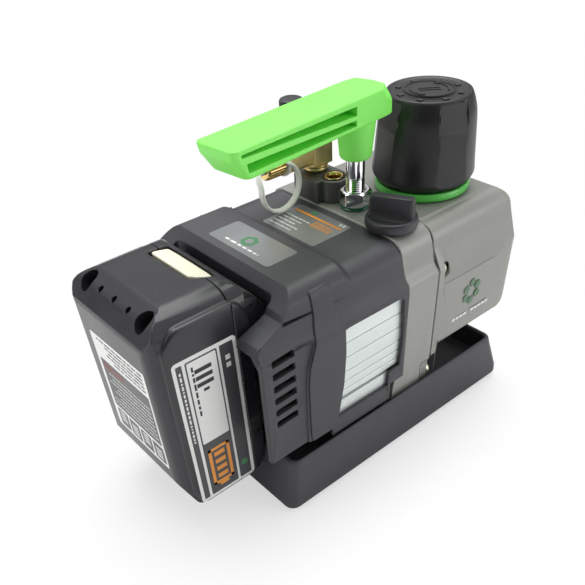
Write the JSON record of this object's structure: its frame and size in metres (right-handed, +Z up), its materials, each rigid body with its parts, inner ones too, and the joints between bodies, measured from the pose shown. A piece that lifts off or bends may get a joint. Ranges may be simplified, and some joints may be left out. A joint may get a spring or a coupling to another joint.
{
  "type": "hvac vacuum pump",
  "caption": "Cordless rotary-vane vacuum pump for HVAC service, with slide-on battery, oil tank, exhaust filter, flare intake tee, gas ballast knob and carrying handle.",
  "frame": {"origin": "on the ground under the middle of the bounding box", "axes": "+X along the machine from the battery to the oil tank, +Y to the side of the intake fittings, +Z up"},
  "size_m": [0.2394, 0.124, 0.1815],
  "materials": {
    "black_plastic": "fine texture",
    "tray_plastic": "coarse texture",
    "grey_cast": "satin paint on a casting",
    "dark_cast": "satin",
    "bare_aluminium": "satin",
    "steel": "ground",
    "chrome": "polished",
    "brass": "satin",
    "green_plastic": "semi-gloss",
    "cream_plastic": "satin",
    "white_plastic": "satin",
    "black_rubber": "matt",
    "copper": "enamelled wire",
    "lamination_steel": "stacked sheets",
    "circuit_board": "solder mask",
    "cell_wrap": "shrink wrap",
    "clear_glass": "clear",
    "filter_felt": "felt"
  },
  "bodies": {
    "pump": {"base_tray": "tray_plastic", "foot_front_near": "black_rubber", "foot_front_far": "black_rubber", "foot_rear_near": "black_rubber", "foot_rear_far": "black_rubber", "base_screw_near": "steel", "base_screw_far": "steel", "pump_flange": "grey_cast", "front_bearing": "steel", "shaft_seal": "black_rubber", "motor_housing": "bare_aluminium", "rear_end_bell": "bare_aluminium", "rear_bearing": "steel", "stator_core": "lamination_steel", "stator_windings": "copper", "control_board": "circuit_board", "motor_cover": "black_plastic", "switch_bezel": "black_plastic", "battery_dock": "black_plastic", "dock_blade_neg": "brass", "dock_blade_pos": "brass", "pump_cylinder": "grey_cast", "pump_end_plate": "grey_cast", "oil_tank": "grey_cast", "tank_screw_near": "steel", "tank_screw_far": "steel", "foot_screw_near": "steel", "foot_screw_far": "steel", "tank_gasket": "black_rubber", "sight_bezel": "chrome", "sight_glass": "clear_glass", "filter_ring": "green_plastic", "handle_grip": "green_plastic", "handle_post": "chrome", "post_washer": "chrome", "post_nut": "chrome", "intake_block": "dark_cast", "port_insert": "brass", "intake_tee": "brass"},
    "rotor": {"motor_shaft": "steel", "rotor_magnets": "dark_cast", "cooling_fan": "black_plastic", "pump_rotor": "steel"},
    "vane_near": {"vane_near": "lamination_steel"},
    "vane_far": {"vane_far": "lamination_steel"},
    "rocker": {"switch_rocker": "black_rubber"},
    "battery": {"battery_rear_case": "black_plastic", "battery_front_case": "black_plastic", "cell_pack": "cell_wrap"},
    "release_button": {"release_button": "cream_plastic"},
    "ballast_knob": {"ballast_knob": "black_plastic"},
    "filter_insert": {"filter_element": "filter_felt"},
    "filter_cap": {"filter_cap": "black_plastic"},
    "drain_seal": {"drain_seal": "black_rubber"},
    "drain_plug": {"drain_plug": "brass"},
    "side_cap_seal": {"side_cap_seal": "black_rubber", "cap_tether": "white_plastic"},
    "side_cap": {"side_cap": "brass"},
    "top_cap_seal": {"top_cap_seal": "black_rubber"},
    "top_cap": {"top_cap": "black_plastic"}
  },
  "joints": [
    {"name": "rotor_spin", "type": "hinge", "parent": "pump", "child": "rotor", "pos_m": [0.02, 0, 0.078], "axis": [1, 0, 0], "continuous": true},
    {"name": "vane_near_slide", "type": "slide", "parent": "rotor", "child": "vane_near", "axis": [0, -1, 0], "range_m": [0, 0.0022]},
    {"name": "vane_far_slide", "type": "slide", "parent": "rotor", "child": "vane_far", "axis": [0, 1, 0], "range_m": [0, 0.0022]},
    {"name": "rocker_tilt", "type": "hinge", "parent": "pump", "child": "rocker", "pos_m": [-0.042, 0.0564, 0.069], "axis": [1, 0, 0], "range_deg": [0, 12]},
    {"name": "battery_slide", "type": "slide", "parent": "pump", "child": "battery", "axis": [0, 0, 1], "range_m": [0, 0.034]},
    {"name": "release_press", "type": "slide", "parent": "battery", "child": "release_button", "axis": [0, 0, -1], "range_m": [0, 0.003]},
    {"name": "ballast_turn", "type": "hinge", "parent": "pump", "child": "ballast_knob", "pos_m": [0.0276, -0.0342, 0.1248], "axis": [0, 0, 1], "range_deg": [0, 180]},
    {"name": "filter_lift", "type": "slide", "parent": "pump", "child": "filter_insert", "axis": [0, 0, 1], "range_m": [0, 0.006]},
    {"name": "filter_cap_turn", "type": "hinge", "parent": "filter_insert", "child": "filter_cap", "pos_m": [0.0765, -0.0112, 0.1291], "axis": [0, 0, 1], "range_deg": [0, 1080]},
    {"name": "drain_seal_slide", "type": "slide", "parent": "pump", "child": "drain_seal", "axis": [1, 0, 0], "range_m": [0, 0.006]},
    {"name": "drain_plug_turn", "type": "hinge", "parent": "drain_seal", "child": "drain_plug", "pos_m": [0.115, 0.026, 0.065], "axis": [1, 0, 0], "range_deg": [0, 1440]},
    {"name": "side_cap_lift", "type": "slide", "parent": "pump", "child": "side_cap_seal", "axis": [-1, 0, 0], "range_m": [0, 0.006]},
    {"name": "side_cap_turn", "type": "hinge", "parent": "side_cap_seal", "child": "side_cap", "pos_m": [0, 0.0257, 0.147], "axis": [-1, 0, 0], "range_deg": [0, 1440]},
    {"name": "top_cap_lift", "type": "slide", "parent": "pump", "child": "top_cap_seal", "axis": [0, 0, 1], "range_m": [0, 0.0045]},
    {"name": "top_cap_turn", "type": "hinge", "parent": "top_cap_seal", "child": "top_cap", "pos_m": [0.0155, 0.0257, 0.165], "axis": [0, 0, 1], "range_deg": [0, 1080]}
  ],
  "couplings": [
    {"joint": "filter_cap_turn", "follows": "filter_lift", "rad_per_m": 3141.6},
    {"joint": "drain_plug_turn", "follows": "drain_seal_slide", "rad_per_m": 4188.8},
    {"joint": "side_cap_turn", "follows": "side_cap_lift", "rad_per_m": 4188.8},
    {"joint": "top_cap_turn", "follows": "top_cap_lift", "rad_per_m": 4188.8}
  ]
}
